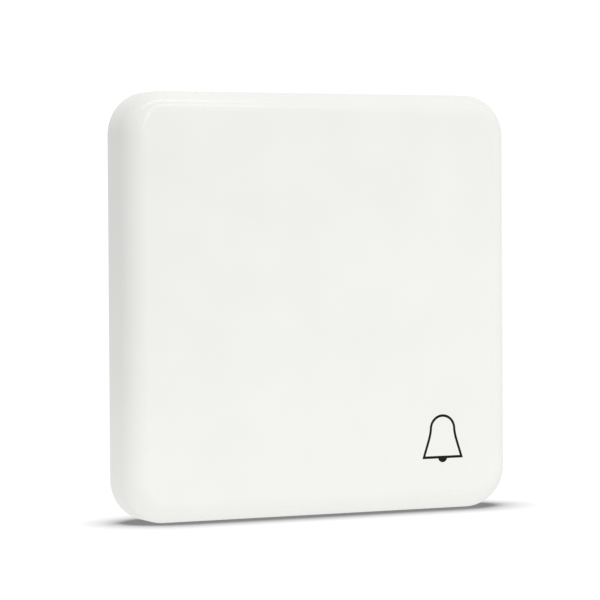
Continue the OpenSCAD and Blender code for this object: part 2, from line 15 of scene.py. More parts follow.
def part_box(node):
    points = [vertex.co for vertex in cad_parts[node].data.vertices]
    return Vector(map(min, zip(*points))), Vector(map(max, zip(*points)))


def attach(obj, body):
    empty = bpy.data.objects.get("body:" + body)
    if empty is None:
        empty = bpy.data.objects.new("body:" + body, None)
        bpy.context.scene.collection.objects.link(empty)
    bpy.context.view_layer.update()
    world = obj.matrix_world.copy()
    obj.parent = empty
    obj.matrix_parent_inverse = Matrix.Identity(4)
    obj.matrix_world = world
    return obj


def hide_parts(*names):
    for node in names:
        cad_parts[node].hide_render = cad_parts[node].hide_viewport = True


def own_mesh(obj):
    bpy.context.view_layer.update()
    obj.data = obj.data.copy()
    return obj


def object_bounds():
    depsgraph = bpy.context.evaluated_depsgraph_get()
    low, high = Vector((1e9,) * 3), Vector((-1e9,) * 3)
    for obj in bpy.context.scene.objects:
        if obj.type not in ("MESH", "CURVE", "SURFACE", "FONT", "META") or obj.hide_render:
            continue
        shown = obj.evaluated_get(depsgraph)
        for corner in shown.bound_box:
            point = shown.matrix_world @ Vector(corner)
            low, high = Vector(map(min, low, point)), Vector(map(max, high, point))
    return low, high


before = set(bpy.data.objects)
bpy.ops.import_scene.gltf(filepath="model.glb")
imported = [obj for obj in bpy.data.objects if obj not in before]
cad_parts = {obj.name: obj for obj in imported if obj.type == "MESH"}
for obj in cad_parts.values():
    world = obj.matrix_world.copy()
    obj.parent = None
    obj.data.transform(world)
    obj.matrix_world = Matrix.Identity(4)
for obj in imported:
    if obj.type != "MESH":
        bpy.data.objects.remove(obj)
cad_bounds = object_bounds()

MM = 0.001

# ---------------------------------------------------------------- driving sizes

PLATE_WALL = 2 * MM
CORNER_R = 8 * MM
CORNER_STEPS = 24
EDGE_R = 4 * MM
INNER_STEPS = 8
RIM_ROUND = 0.25 * MM
BELL_WIDTH = 8.2 * MM
BELL_HEIGHT = 8 * MM
BELL_DOME_R = 2.55 * MM
BELL_LINE = 0.48 * MM
CLAPPER_R = 1 * MM
INLAY_DEPTH = 0.12 * MM
INLAY_SUNK = 0.01 * MM

PLATE_LOW, PLATE_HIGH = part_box("push_plate")
FACE_Y = PLATE_LOW.y
RIM_Y = PLATE_HIGH.y
INNER_Y = FACE_Y + PLATE_WALL
BOARD_LOW, BOARD_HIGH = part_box("circuit_board")
BOARD_Y = BOARD_LOW.y
PRINT_T = 0.02 * MM
PRINT_LINE = 0.15 * MM
# Points of a CAD mesh closer than this are one point.
MERGE = 0.002 * MM


# ---------------------------------------------------------------- modelling helpers


def activate(*pieces):
    """Selects only these objects and makes the first one active."""
    bpy.ops.object.select_all(action="DESELECT")
    for piece in pieces:
        piece.select_set(True)
    bpy.context.view_layer.objects.active = pieces[0]


def settle(name):
    """Names the new primitive and moves its place, turn and size into its mesh."""
    piece = bpy.context.active_object
    piece.name = piece.data.name = name
    bpy.ops.object.transform_apply(location=True, rotation=True, scale=True)
    return piece


def block(name, low, high):
    """A cuboid between two corners."""
    low, high = Vector(low), Vector(high)
    bpy.ops.object.select_all(action="DESELECT")
    bpy.ops.mesh.primitive_cube_add(size=1, location=(low + high) / 2, scale=high - low)
    return settle(name)


def rod(name, start, end, radius, sides=48):
    """A round bar from one point to another."""
    start, end = Vector(start), Vector(end)
    along = end - start
    bpy.ops.object.select_all(action="DESELECT")
    bpy.ops.mesh.primitive_cylinder_add(
        vertices=sides,
        radius=radius,
        depth=along.length,
        location=(start + end) / 2,
        rotation=along.to_track_quat("Z", "Y").to_euler(),
    )
    return settle(name)


@contextmanager
def editing(piece, select="DESELECT"):
    """Edit mode on one piece, with nothing selected, or all of it with SELECT."""
    activate(piece)
    bpy.ops.object.mode_set(mode="EDIT")
    bpy.ops.mesh.select_all(action=select)
    yield
    bpy.ops.object.mode_set(mode="OBJECT")


def pick_faces(piece, test):
    """Selects the faces whose middle and normal pass a test."""
    bpy.ops.mesh.select_mode(type="FACE")
    mesh = bmesh.from_edit_mesh(piece.data)
    for face in mesh.faces:
        face.select_set(bool(test(face.calc_center_median(), face.normal)))
    bmesh.update_edit_mesh(piece.data)


def pick_edges(piece, test):
    """Selects the edges whose two ends pass a test."""
    bpy.ops.mesh.select_mode(type="EDGE")
    mesh = bmesh.from_edit_mesh(piece.data)
    for edge in mesh.edges:
        edge.select_set(bool(test(edge.verts[0].co, edge.verts[1].co)))
    bmesh.update_edit_mesh(piece.data)


def pull(offset):
    """Extrudes what is selected by an offset."""
    bpy.ops.mesh.extrude_region_move(TRANSFORM_OT_translate={"value": offset})


def round_uprights(piece, radius, segments):
    """Rounds the edges that run along Y, in edit mode."""
    pick_edges(piece, lambda a, b: near(a.x, b.x) and near(a.z, b.z))
    bpy.ops.mesh.bevel(offset=radius, segments=segments, affect="EDGES")


def round_rim(piece, y, radius, segments):
    """Rounds the edges that lie flat at one depth, in edit mode."""
    pick_edges(piece, lambda a, b: near(a.y, y) and near(b.y, y))
    bpy.ops.mesh.bevel(offset=radius, segments=segments, affect="EDGES")


def near(a, b):
    """True where two lengths are the same to a thousandth of a millimetre."""
    return abs(a - b) < 0.001 * MM


def apply_modifier(piece, kind, **settings):
    """Adds a modifier, sets it and applies it."""
    modifier = piece.modifiers.new(kind.lower(), kind)
    for key, value in settings.items():
        setattr(modifier, key, value)
    activate(piece)
    bpy.ops.object.modifier_apply(modifier=modifier.name)
    return piece


def combine(piece, operation, *tools):
    """Joins tools to a piece, or cuts them from it, and removes them."""
    for tool in tools:
        apply_modifier(piece, "BOOLEAN", operation=operation, object=tool, solver="EXACT")
        bpy.data.objects.remove(tool)
    return piece


def soften(piece, width, segments=3, angle=35):
    """Rounds every edge sharper than an angle, as a mould or a press leaves it."""
    return apply_modifier(
        piece,
        "BEVEL",
        width=width,
        segments=segments,
        limit_method="ANGLE",
        angle_limit=math.radians(angle),
        use_clamp_overlap=True,
        miter_outer="MITER_ARC",
    )


def polish(piece, angle=35):
    """Shades the piece smooth, with flat faces kept flat up to their rounds."""
    activate(piece)
    bpy.ops.object.shade_smooth_by_angle(angle=math.radians(angle))
    return apply_modifier(piece, "WEIGHTED_NORMAL", keep_sharp=True, weight=100)


def dress(piece, body, slot, material, *nodes):
    """Gives a finished piece its body, the CAD nodes it stands for and any new material."""
    if material:
        piece.data.materials.clear()
        piece.data.materials.append(material)
    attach(piece, body)
    if nodes:
        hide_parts(*nodes)
    return piece


def cad_copy(node, name):
    """A merged copy of a CAD node's mesh, with its flat faces whole, to be shaped further."""
    piece = bpy.data.objects.new(name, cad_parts[node].data.copy())
    piece.data.name = name
    bpy.context.scene.collection.objects.link(piece)
    with editing(piece, "SELECT"):
        bpy.ops.mesh.remove_doubles(threshold=MERGE)
        bpy.ops.mesh.dissolve_limited(angle_limit=math.radians(0.4))
    return piece


def rounded_block(name, low, high, corner, edge, segments=6):
    """A cuboid with its four upright edges rounded, and every other edge softened."""
    piece = block(name, low, high)
    with editing(piece):
        round_uprights(piece, corner, segments)
    return soften(piece, edge)


def drawn(name, points):
    """A line drawn from point to point, to be filled, spun or given a thickness."""
    points = [Vector(point) for point in points]
    bpy.ops.object.select_all(action="DESELECT")
    bpy.ops.mesh.primitive_plane_add(size=1 * MM, location=points[0])
    piece = settle(name)
    with editing(piece):
        bpy.ops.mesh.select_mode(type="VERT")
        bpy.ops.mesh.select_all(action="SELECT")
        bpy.ops.mesh.merge(type="CENTER")
        for start, end in zip(points, points[1:]):
            pull(end - start)
    return piece


def plate_of(name, outline, thickness):
    """A flat piece with a given outline and an offset as its thickness."""
    piece = drawn(name, outline)
    with editing(piece, "SELECT"):
        bpy.ops.mesh.edge_face_add()
        pull(thickness)
        bpy.ops.mesh.select_all(action="SELECT")
        bpy.ops.mesh.normals_make_consistent(inside=False)
    return piece


def turned(name, profile, place, sides=72):
    """A solid of revolution about a line along Y, from points (radius, height out from place)."""
    place = Vector(place)
    piece = drawn(name, [place + Vector((radius, -height, 0)) for radius, height in profile])
    with editing(piece, "SELECT"):
        if profile[0][0] > 0:
            bpy.ops.mesh.edge_face_add()
            bpy.ops.mesh.delete(type="ONLY_FACE")
            bpy.ops.mesh.select_all(action="SELECT")
        bpy.ops.mesh.spin(steps=sides, angle=2 * math.pi, center=place, axis=(0, 1, 0))
        bpy.ops.mesh.select_all(action="SELECT")
        bpy.ops.mesh.remove_doubles(threshold=0.0005 * MM)
        bpy.ops.mesh.normals_make_consistent(inside=False)
    return piece


def wound(name, radius, wire, start, *sections):
    """A wire wound about Y in sections of (turns, rise of each turn), with closed ends."""
    sides, parts = 12, []
    for turns, rise in sections:
        bpy.ops.object.select_all(action="DESELECT")
        bpy.ops.mesh.primitive_circle_add(
            vertices=sides, radius=wire / 2, location=(radius, start, 0)
        )
        part = settle(name)
        steps = round(30 * turns)
        apply_modifier(
            part,
            "SCREW",
            axis="Y",
            angle=2 * math.pi * turns,
            screw_offset=rise * turns,
            steps=steps,
            render_steps=steps,
        )
        start += rise * turns
        parts.append(part)
    piece = joined(name, *parts)
    with editing(piece, "SELECT"):
        bpy.ops.mesh.remove_doubles(threshold=wire / 100)
        bpy.ops.mesh.fill_holes(sides=sides)
        bpy.ops.mesh.normals_make_consistent(inside=False)
    return piece


def copied(piece, offset):
    """A copy of a piece, with its own mesh, moved by an offset."""
    activate(piece)
    bpy.ops.object.duplicate(linked=False)
    bpy.ops.transform.translate(value=offset)
    bpy.ops.object.transform_apply(location=True, rotation=False, scale=False)
    return bpy.context.active_object


def set_out(piece, name, places):
    """Puts a copy of a piece at each place, as one piece, and removes the first one."""
    copies = [copied(piece, place) for place in places]
    bpy.data.objects.remove(piece)
    return joined(name, *copies)


def joined(name, *parts):
    """Several separate solids as one piece."""
    activate(*parts)
    if len(parts) > 1:
        bpy.ops.object.join()
    piece = bpy.context.active_object
    piece.name = piece.data.name = name
    return piece


def solids(node):
    """The low and high corners of each separate solid of a CAD node, from left to right."""
    mesh = bmesh.new()
    mesh.from_mesh(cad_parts[node].data)
    bmesh.ops.remove_doubles(mesh, verts=mesh.verts, dist=MERGE)
    left = set(mesh.verts)
    boxes = []
    while left:
        group, front = set(), [left.pop()]
        while front:
            vertex = front.pop()
            group.add(vertex)
            reached = {edge.other_vert(vertex) for edge in vertex.link_edges} & left
            left -= reached
            front += reached
        corners = [[pick(v.co[i] for v in group) for i in range(3)] for pick in (min, max)]
        boxes.append(tuple(Vector(corner) for corner in corners))
    mesh.free()
    return sorted(boxes, key=lambda box: (round(box[0].x, 5), round(box[0].z, 5)))


def middle(box):
    """The middle of a box."""
    return (box[0] + box[1]) / 2


def over(box, y):
    """The point at depth y in line with the middle of a box."""
    return Vector((middle(box).x, y, middle(box).z))


def angles(turn, steps):
    """Angles from 0 to a turn in even steps, both ends among them."""
    return [turn * k / steps for k in range(steps + 1)]


def ball_radius(radius, rise):
    """The radius of the ball whose cap has a given radius and rise."""
    return (radius * radius + rise * rise) / (2 * rise)


def cross_bars(name, place, y_range, half_x, half_z):
    """The two bars of an upright cross at (x, z), between two depths."""
    x, z = place
    return [
        block(name, (x - wide, y_range[0], z - tall), (x + wide, y_range[1], z + tall))
        for wide, tall in ((half_x, half_z), (half_z, half_x))
    ]


# ---------------------------------------------------------------- material helpers


def linear(code):
    """An sRGB hex colour as linear RGBA."""
    channels = [int(code[i : i + 2], 16) / 255 for i in (0, 2, 4)]
    return [c / 12.92 if c <= 0.04045 else ((c + 0.055) / 1.055) ** 2.4 for c in channels] + [1]


def add(tree, kind, inputs=(), **settings):
    """Adds a shader node: its settings, and each input as a value or as a (node, output) link."""
    made = tree.nodes.new("ShaderNode" + kind)
    for key, value in settings.items():
        setattr(made, key, value)
    for key, value in dict(inputs).items():
        if isinstance(value, tuple) and isinstance(value[0], bpy.types.Node):
            tree.links.new(value[0].outputs[value[1]], made.inputs[key])
        else:
            made.inputs[key].default_value = value
    return made


def new_material(name, values):
    """A material with a Principled shader whose own sockets hold the values that are constant."""
    material = bpy.data.materials.new(name)
    material.use_nodes = True
    shader = material.node_tree.nodes["Principled BSDF"]
    for key, value in values.items():
        shader.inputs[key].default_value = value
    return material, material.node_tree


def finish(material, tone, rough, relief):
    """Links a material's colour, roughness and relief to its shader."""
    shader = material.node_tree.nodes["Principled BSDF"]
    for socket, link in (("Base Color", tone), ("Roughness", rough), ("Normal", relief)):
        material.node_tree.links.new(link[0].outputs[link[1]], shader.inputs[socket])
    return material


def ramp(tree, source, *stops):
    """A colour ramp on a link, with (position, colour) stops."""
    made = add(tree, "ValToRGB", {"Fac": source})
    made.color_ramp.elements[0].position, made.color_ramp.elements[0].color = stops[0]
    made.color_ramp.elements[1].position, made.color_ramp.elements[1].color = stops[-1]
    for position, colour in stops[1:-1]:
        made.color_ramp.elements.new(position).color = colour
    return made, "Color"


def pattern(tree, kind, output, size, stretch=(1, 1, 1), inputs=(), **settings):
    """A texture in the piece's own coordinates, about `size` from one feature to the next."""
    place = add(tree, "TexCoord")
    scaled = add(tree, "Mapping", {"Vector": (place, "Object"), "Scale": stretch})
    values = {"Vector": (scaled, "Vector"), "Scale": 1 / size}
    values.update(inputs)
    return add(tree, kind, values, **settings), output


# A wave texture makes this many waves in each unit of its scale.
WAVES = 20 / (2 * math.pi)


def noise(tree, size, detail=3.0, stretch=(1, 1, 1)):
    """Soft noise whose lumps are about `size` across."""
    return pattern(tree, "TexNoise", "Fac", size, stretch, {"Detail": detail})


def drift(tree, size, shade, colour, edge=0.3, detail=3.0):
    """A colour that wanders slowly between two, given as hex codes."""
    stops = (edge, linear(shade)), (1 - edge, linear(colour))
    return ramp(tree, noise(tree, size, detail), *stops)


def between(tree, source, low, high):
    """A link that ran from 0 to 1, mapped between two values."""
    made = add(tree, "MapRange", {"Value": source, "To Min": low, "To Max": high})
    return made, "Result"


def bumps(tree, source, depth, below=None):
    """Surface relief `depth` deep where a link runs from 0 to 1, over relief below it."""
    inputs = {"Height": source, "Distance": depth, "Strength": 1.0}
    if below:
        inputs["Normal"] = below
    return add(tree, "Bump", inputs), "Normal"


def moulded(name, colour, shade, roughness, grain, depth, ior=1.5, **values):
    """A moulded plastic: faint colour drift from the melt, sink waves and the mould's grain."""
    material, tree = new_material(name, {"IOR": ior, **values})
    tone = drift(tree, 14 * MM, shade, colour, edge=0.35, detail=2.0)
    waves = bumps(tree, noise(tree, 22 * MM, detail=1.0), 0.003 * MM)
    relief = bumps(tree, noise(tree, grain, detail=2.0), depth, waves)
    rough = between(tree, noise(tree, 5 * MM), roughness - 0.02, roughness + 0.02)
    return finish(material, tone, rough, relief)


def metal(name, colour, shade, roughness, grain, depth, stretch=(1, 1, 1)):
    """A bare or plated metal: tone that wanders a little, and fine lines left by its making."""
    material, tree = new_material(name, {"Metallic": 1.0})
    tone = drift(tree, 3 * MM, shade, colour)
    lines = noise(tree, grain, detail=4.0, stretch=stretch)
    rough = between(tree, lines, roughness * 0.75, roughness * 1.25)
    return finish(material, tone, rough, bumps(tree, lines, depth))


# ---------------------------------------------------------------- materials

# ASA from a polished mould: a warm white, with a soft clear gloss on its rounds.
plate_white = moulded("asa_satin_white", "E7E8E4", "E5E6E2", 0.15, 0.35 * MM, 0.0003 * MM)
# Second colour, shot into the plate's face: almost black, and matt.
symbol_ink = moulded("inlay_matt_black", "161614", "121211", 0.6, 0.2 * MM, 0.001 * MM, 1.25)
# ABS from a spark-eroded mould: a shade greyer than the plate, with a fine matt grain.
housing_white = moulded("abs_matt_white", "E2E2DD", "DEDED8", 0.48, 0.3 * MM, 0.003 * MM)
# The same ABS with a coarser grain, since nobody sees the bracket once it is up.
bracket_white = moulded("abs_grained_white", "DDDDD8", "D8D8D2", 0.55, 0.45 * MM, 0.006 * MM)
# Silicone: dark, dead matt, slightly dusty.
bumper_rubber = moulded("silicone_dark_grey", "34353A", "2C2D31", 0.7, 0.25 * MM, 0.004 * MM, 1.41)
# Glass-filled nylon: black with a faint grey bloom.
switch_black = moulded("nylon_black", "1B1B1C", "232324", 0.5, 0.12 * MM, 0.002 * MM, 1.53)
holder_black = moulded("nylon_black_grained", "202122", "2A2B2C", 0.55, 0.25 * MM, 0.004 * MM, 1.53)
# Acetal: dense colour and a waxy sheen.
stem_grey = moulded("acetal_grey", "3E4043", "36383B", 0.32, 0.2 * MM, 0.001 * MM, 1.48)
stem_red = moulded("acetal_red", "A52A22", "95241D", 0.32, 0.2 * MM, 0.001 * MM, 1.48)
# Epoxy around a chip: near black with a fine sandy matt.
chip_black = moulded("epoxy_black", "19191A", "202022", 0.62, 0.06 * MM, 0.003 * MM, 1.55)
# Epoxy around a tantalum capacitor: mustard yellow with a slight gloss.
tantalum_yellow = moulded("epoxy_mustard", "C8922A", "BD8722", 0.4, 0.15 * MM, 0.001 * MM, 1.55)
tantalum_band = moulded("band_brown", "5E3A1E", "553418", 0.45, 0.15 * MM, 0.001 * MM)
# Fired ceramic: tan, dull and faintly speckled.
capacitor_tan = moulded("ceramic_tan", "A88662", "997757", 0.5, 0.08 * MM, 0.002 * MM, 1.6)
resistor_white = moulded("alumina_white", "D9D8D0", "CFCEC6", 0.45, 0.08 * MM, 0.001 * MM, 1.6)
resistor_black = moulded("glaze_black", "161718", "1D1E20", 0.2, 0.1 * MM, 0.0005 * MM)
# Moulded reflector cup of a lamp, and the phosphor in clear silicone that fills it.
led_white = moulded("lamp_cup_white", "EFEFEA", "E6E6E0", 0.35, 0.1 * MM, 0.0005 * MM)
led_phosphor = moulded("phosphor_silicone", "E8D85A", "DDCB48", 0.2, 0.05 * MM, 0.0005 * MM, 1.41)
# Screen-printed marks: opaque white with slightly furred edges.
print_white = moulded("screen_print_white", "E4E6E0", "D6D9D2", 0.6, 0.05 * MM, 0.002 * MM)

# Drawn spring wire: a cool grey shine with lines along the wire.
spring_steel = metal("spring_wire", "A9ABAE", "93969A", 0.28, 0.08 * MM, 0.001 * MM, (1, 6, 1))
# Zinc plate: pale and slightly blue, with a soft crystalline grain.
screw_zinc = metal("zinc_plate", "B7BCC2", "A3A8AF", 0.3, 0.15 * MM, 0.001 * MM)
# Tin plate on pressed sheet: bright, brushed one way.
switch_cover_steel = metal("tin_plate", "C6C6C2", "B4B4B0", 0.26, 0.1 * MM, 0.001 * MM, (1, 1, 9))
tin_solder = metal("solder_tin", "C2C3C2", "A9ABAB", 0.22, 0.2 * MM, 0.002 * MM)
# Stainless snap dome, with a faint straw tint from its heat treatment.
dome_steel = metal("stainless_dome", "C4B48E", "B3A27D", 0.22, 0.1 * MM, 0.0005 * MM, (1, 1, 5))
# Nickel plate on a drawn can: warm bright grey with fine drawing lines.
cell_steel = metal("nickel_can", "C3C1BB", "BDBBB5", 0.24, 0.12 * MM, 0.001 * MM, (6, 1, 1))
crystal_can = metal("nickel_can_small", "CBCAC5", "BBBAB4", 0.2, 0.1 * MM, 0.0005 * MM, (1, 1, 6))
# Gold flash over bronze strip.
contact_gold = metal("gold_flash", "D9B45F", "C79F4C", 0.25, 0.08 * MM, 0.001 * MM, (1, 1, 7))
# Copper wire under clear enamel: reddish, and glossier than bare copper.
aerial_copper = metal("enamelled_copper", "B9653C", "A4532E", 0.2, 0.1 * MM, 0.0005 * MM, (6, 1, 1))


def solder_mask(name, colour, shade):
    """Solder mask: a clear glossy green over the weave of the glass cloth below it."""
    material, tree = new_material(name, {"IOR": 1.52, "Coat Weight": 0.3})
    thread = 0.6 * MM * WAVES
    warp, weft = (
        pattern(tree, "TexWave", "Fac", thread, bands_direction=way) for way in "XZ"
    )
    weave = add(tree, "Math", {0: warp, 1: weft}, operation="MULTIPLY"), "Value"
    tone = drift(tree, 9 * MM, shade, colour)
    rough = between(tree, noise(tree, 4 * MM), 0.16, 0.26)
    return finish(material, tone, rough, bumps(tree, weave, 0.002 * MM))


def laminate():
    """The sawn edge of glass laminate: straw yellow in thin layers of cloth."""
    material, tree = new_material("laminate_edge", {"IOR": 1.52})
    layer = 0.18 * MM * WAVES
    layers = pattern(
        tree, "TexWave", "Fac", layer, bands_direction="Y", inputs={"Distortion": 1.5}
    )
    tone = ramp(tree, layers, (0.2, linear("A9924F")), (0.8, linear("C9B67A")))
    rough = between(tree, noise(tree, 0.3 * MM), 0.6, 0.8)
    return finish(material, tone, rough, bumps(tree, layers, 0.01 * MM))


def foam():
    """Closed-cell acrylic foam: soft grey, pitted all over with cut cells, with painted shade that
    darkens each pit towards its bottom.
    """
    material, tree = new_material("acrylic_foam_grey", {"IOR": 1.47})
    cells = pattern(tree, "TexVoronoi", "Distance", 0.35 * MM, inputs={"Randomness": 1.0})
    # Painted shade: the grey darkens towards the bottom of each pit, by the same cells that sink
    # it.
    tone = ramp(tree, cells, (0.0, linear("8A8C8B")), (0.55, linear("B9BBBA")))
    rough = between(tree, noise(tree, 1 * MM), 0.8, 0.95)
    return finish(material, tone, rough, bumps(tree, cells, 0.05 * MM))


def liner():
    """Silicone-coated release paper: pale blue, waxy, with faint fibres and handling waves."""
    material, tree = new_material("release_paper_pale_blue", {"IOR": 1.45})
    fibres = noise(tree, 0.25 * MM, detail=5.0, stretch=(0.3, 1, 1))
    tone = drift(tree, 8 * MM, "D5E0E8", "DFE8EE")
    waves = bumps(tree, noise(tree, 9 * MM, detail=1.0), 0.04 * MM)
    rough = between(tree, fibres, 0.26, 0.38)
    return finish(material, tone, rough, bumps(tree, fibres, 0.002 * MM, waves))


board_green = solder_mask("solder_mask_green", "1A5C33", "14502B")
# The same mask over copper: lighter, as the metal shines through.
track_green = solder_mask("solder_mask_over_copper", "3C8A4C", "2F7B42")
laminate_edge = laminate()
foam_grey = foam()
liner_paper = liner()

# ---------------------------------------------------------------- push plate


def bezier(points, t):
    """A point on a cubic curve."""
    weights = ((1 - t) ** 3, 3 * t * (1 - t) ** 2, 3 * t * t * (1 - t), t**3)
    return sum((Vector(p) * w for p, w in zip(points, weights)), Vector((0, 0)))


def bell_outline(grow):
    """The bell's outline from its base corner over the dome, `grow` outside the line's middle."""
    half, dome_z = BELL_WIDTH / 2, BELL_HEIGHT - BELL_DOME_R
    spare = half - BELL_DOME_R
    flank = (
        (half, 0),
        (BELL_DOME_R + 0.48 * spare, 0.48 * dome_z),
        (BELL_DOME_R + 0.1 * spare, 0.7 * dome_z),
        (BELL_DOME_R, dome_z),
    )
    right = [bezier(flank, k / 16) for k in range(16)]
    arc = [
        Vector((0, dome_z)) + BELL_DOME_R * Vector((math.cos(a), math.sin(a)))
        for a in angles(math.pi / 2, 24)
    ]
    line = right + arc
    line += [Vector((-p.x, p.y)) for p in reversed(line[:-1])]
    grown = []
    for i, point in enumerate(line):
        before = (point - line[i - 1]).normalized()
        after = (line[(i + 1) % len(line)] - point).normalized()
        out = Vector((before.y + after.y, -before.x - after.x))
        out.normalize()
        stretch = grow / max(0.2, out.dot(Vector((before.y, -before.x))))
        grown.append(point + out * stretch)
    return grown


def bell_solid(name, line, front_y, back_y):
    """The symbol as a solid between two depths: a ring as wide as the line, and its clapper."""
    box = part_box("bell_symbol")
    x = middle(box).x
    z = box[1].z - BELL_HEIGHT - BELL_LINE / 2
    deep = (0, back_y - front_y, 0)
    outer, inner = (
        plate_of(name, [(x + p.x, front_y, z + p.y) for p in bell_outline(grow)], deep)
        for grow in (line / 2, -line / 2)
    )
    with editing(inner, "SELECT"):
        bpy.ops.transform.resize(value=(1, 3, 1), center_override=(x, front_y, z))
    combine(outer, "DIFFERENCE", inner)
    clapper_r = CLAPPER_R + (line - BELL_LINE) / 2
    half_round = [
        (x + clapper_r * math.cos(a), front_y, z + clapper_r * math.sin(a))
        for a in angles(-math.pi, 32)
    ]
    return combine(outer, "UNION", plate_of(name + "_clapper", half_round, deep))


def soft_shell():
    """The plate's shell: round corners, a soft front edge, hollow from the back."""
    shell = block("push_plate_shell", PLATE_LOW, PLATE_HIGH)
    with editing(shell):
        round_uprights(shell, CORNER_R, CORNER_STEPS)
        round_rim(shell, FACE_Y, EDGE_R, 20)
        pick_faces(shell, lambda c, n: near(c.y, RIM_Y) and n.y > 0.9)
        bpy.ops.mesh.inset(thickness=PLATE_WALL, use_even_offset=True)
        pull((0, INNER_Y - RIM_Y, 0))
        round_rim(shell, INNER_Y, EDGE_R - PLATE_WALL, INNER_STEPS)
        pick_faces(shell, lambda c, n: near(c.y, RIM_Y) and n.y > 0.9)
        bpy.ops.mesh.region_to_loop()
        bpy.ops.mesh.bevel(offset=RIM_ROUND, segments=3, affect="EDGES")
    return shell


def plate_works():
    """What the plate carries inside: hinge ears, latches, spring nubs, press boss and ribs."""
    clear, root, split_x = 0.06 * MM, 0.6 * MM, 3 * MM
    reach = PLATE_HIGH.x - PLATE_WALL - clear
    front = INNER_Y + clear
    hollow = block("hollow", (-reach, front, -reach), (reach, RIM_Y + 1 * MM, reach))
    with editing(hollow):
        round_uprights(hollow, CORNER_R - PLATE_WALL - clear, CORNER_STEPS)
        round_rim(hollow, front, EDGE_R - PLATE_WALL - clear, INNER_STEPS)
    works = combine(cad_copy("push_plate", "plate_works"), "INTERSECT", hollow)
    with editing(works):
        pick_faces(works, lambda c, n: c.y < INNER_Y + 1 * MM and n.y < -0.3)
        pull((0, -root, 0))
        # The ribs' top is a frame round a hole, which a bevel needs in two parts.
        bpy.ops.mesh.select_all(action="SELECT")
        bpy.ops.mesh.bisect(plane_co=(split_x, 0, 0), plane_no=(1, 0, 0))
    return soften(works, 0.12 * MM, segments=2)


def make_push_plate():
    """The whole white cover, with the recess that its symbol fills."""
    plate = soft_shell()
    combine(plate, "UNION", plate_works())
    inlay_y = FACE_Y + INLAY_DEPTH
    recess = bell_solid("bell_recess", BELL_LINE + 0.02 * MM, FACE_Y - 1 * MM, inlay_y)
    combine(plate, "DIFFERENCE", recess)
    dress(polish(plate), "push_plate", "plate_white", plate_white, "push_plate")
    symbol = bell_solid("bell_symbol_inlay", BELL_LINE, FACE_Y + INLAY_SUNK, inlay_y)
    dress(polish(symbol), "push_plate", "symbol_ink", symbol_ink, "bell_symbol")


# ---------------------------------------------------------------- wall bracket and housing


def refined(node, body, slot, material, edge, segments=2):
    """A CAD node's shape with the small rounds that moulding or pressing gives its edges."""
    piece = cad_copy(node, node + "_finished")
    soften(piece, edge, segments)
    return dress(polish(piece), body, slot, material, node)


def make_bracket():
    """The wall bracket, with the ejector marks and the way-up arrow of its mould at the back."""
    bracket = cad_copy("wall_bracket", "wall_bracket_finished")
    soften(bracket, 0.25 * MM, segments=3)
    marks = [
        rod("ejector_mark", (x, -0.15 * MM, z), (x, 1 * MM, z), 2 * MM)
        for x in (-28 * MM, 28 * MM)
        for z in (-28 * MM, 28 * MM)
    ]
    shaft, head, tall = 0.9 * MM, 2.6 * MM, 4 * MM
    outline = [(-shaft, -tall), (shaft, -tall), (shaft, 0.5 * MM), (head, 0.5 * MM)]
    outline += [(0, tall), (-head, 0.5 * MM), (-shaft, 0.5 * MM)]
    arrow = plate_of("way_up_arrow", [(x, 1 * MM, z) for x, z in outline], (0, -1.3 * MM, 0))
    combine(bracket, "DIFFERENCE", *marks, arrow)
    dress(polish(bracket), "housing", "bracket_white", bracket_white, "wall_bracket")


def make_pads():
    """Two strips of foam tape, each still under its release paper, which is slit to peel."""
    slit, corner = 0.4 * MM, 0.8 * MM
    for number, (low, high) in enumerate(solids("adhesive_pads")):
        back = high.y - 0.1 * MM
        foam_high = (high.x, back, high.z)
        foam_piece = rounded_block(f"foam_pad_{number + 1}", low, foam_high, corner, 0.08 * MM)
        dress(polish(foam_piece), "housing", "foam_tape", foam_grey, "adhesive_pads")
        centre = (low.x + high.x) / 2
        halves = [
            rounded_block("paper", (x0, back, low.z), (x1, high.y, high.z), corner, 0.02 * MM)
            for x0, x1 in ((low.x, centre - slit / 2), (centre + slit / 2, high.x))
        ]
        paper_piece = polish(joined(f"release_paper_{number + 1}", *halves))
        dress(paper_piece, "housing", "foam_tape", liner_paper)


# ---------------------------------------------------------------- springs, aerial and screws


def make_springs():
    """Two return springs with closed, ground ends."""
    wire, ground = 0.5 * MM, 0.1 * MM
    boxes = solids("return_springs")
    low, high = boxes[0]
    radius = (high.x - low.x - wire) / 2
    rise = high.y - low.y - 2 * (wire / 2 - ground) - 2.04 * wire
    start = high.y - wire / 2 + ground
    end = (1, -1.02 * wire)
    spring = wound("return_spring", radius, wire, start, end, (4, -rise / 4), end)
    reach = radius + wire
    combine(spring, "INTERSECT", block("ground", (-reach, low.y, -reach), (reach, high.y, reach)))
    places = [over(box, 0) for box in boxes]
    springs = polish(set_out(spring, "return_springs_wound", places), 40)
    dress(springs, "housing", "spring_steel", spring_steel, "return_springs")
    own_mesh(springs)


def make_aerial():
    """The aerial: seven and a half open turns of enamelled wire, with a leg at each end."""
    wire, turns = 0.6 * MM, 7.5
    low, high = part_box("antenna_coil")
    centre = middle((low, high))
    radius = (high.z - low.z - wire) / 2
    length = high.x - low.x - wire
    coil = wound("aerial_coil", radius, wire, -length / 2, (turns, length / turns))
    with editing(coil, "SELECT"):
        for axis in ("Z", "X"):
            bpy.ops.transform.rotate(value=math.pi / 2, orient_axis=axis, center_override=(0, 0, 0))
        bpy.ops.transform.translate(value=centre)
        pick_faces(coil, lambda c, n: abs(n.y) > 0.9 and abs(abs(c.x) - length / 2) < wire / 8)
        pull((0, high.y - centre.y, 0))
    dress(polish(coil, 40), "housing", "aerial_copper", aerial_copper, "antenna_coil")


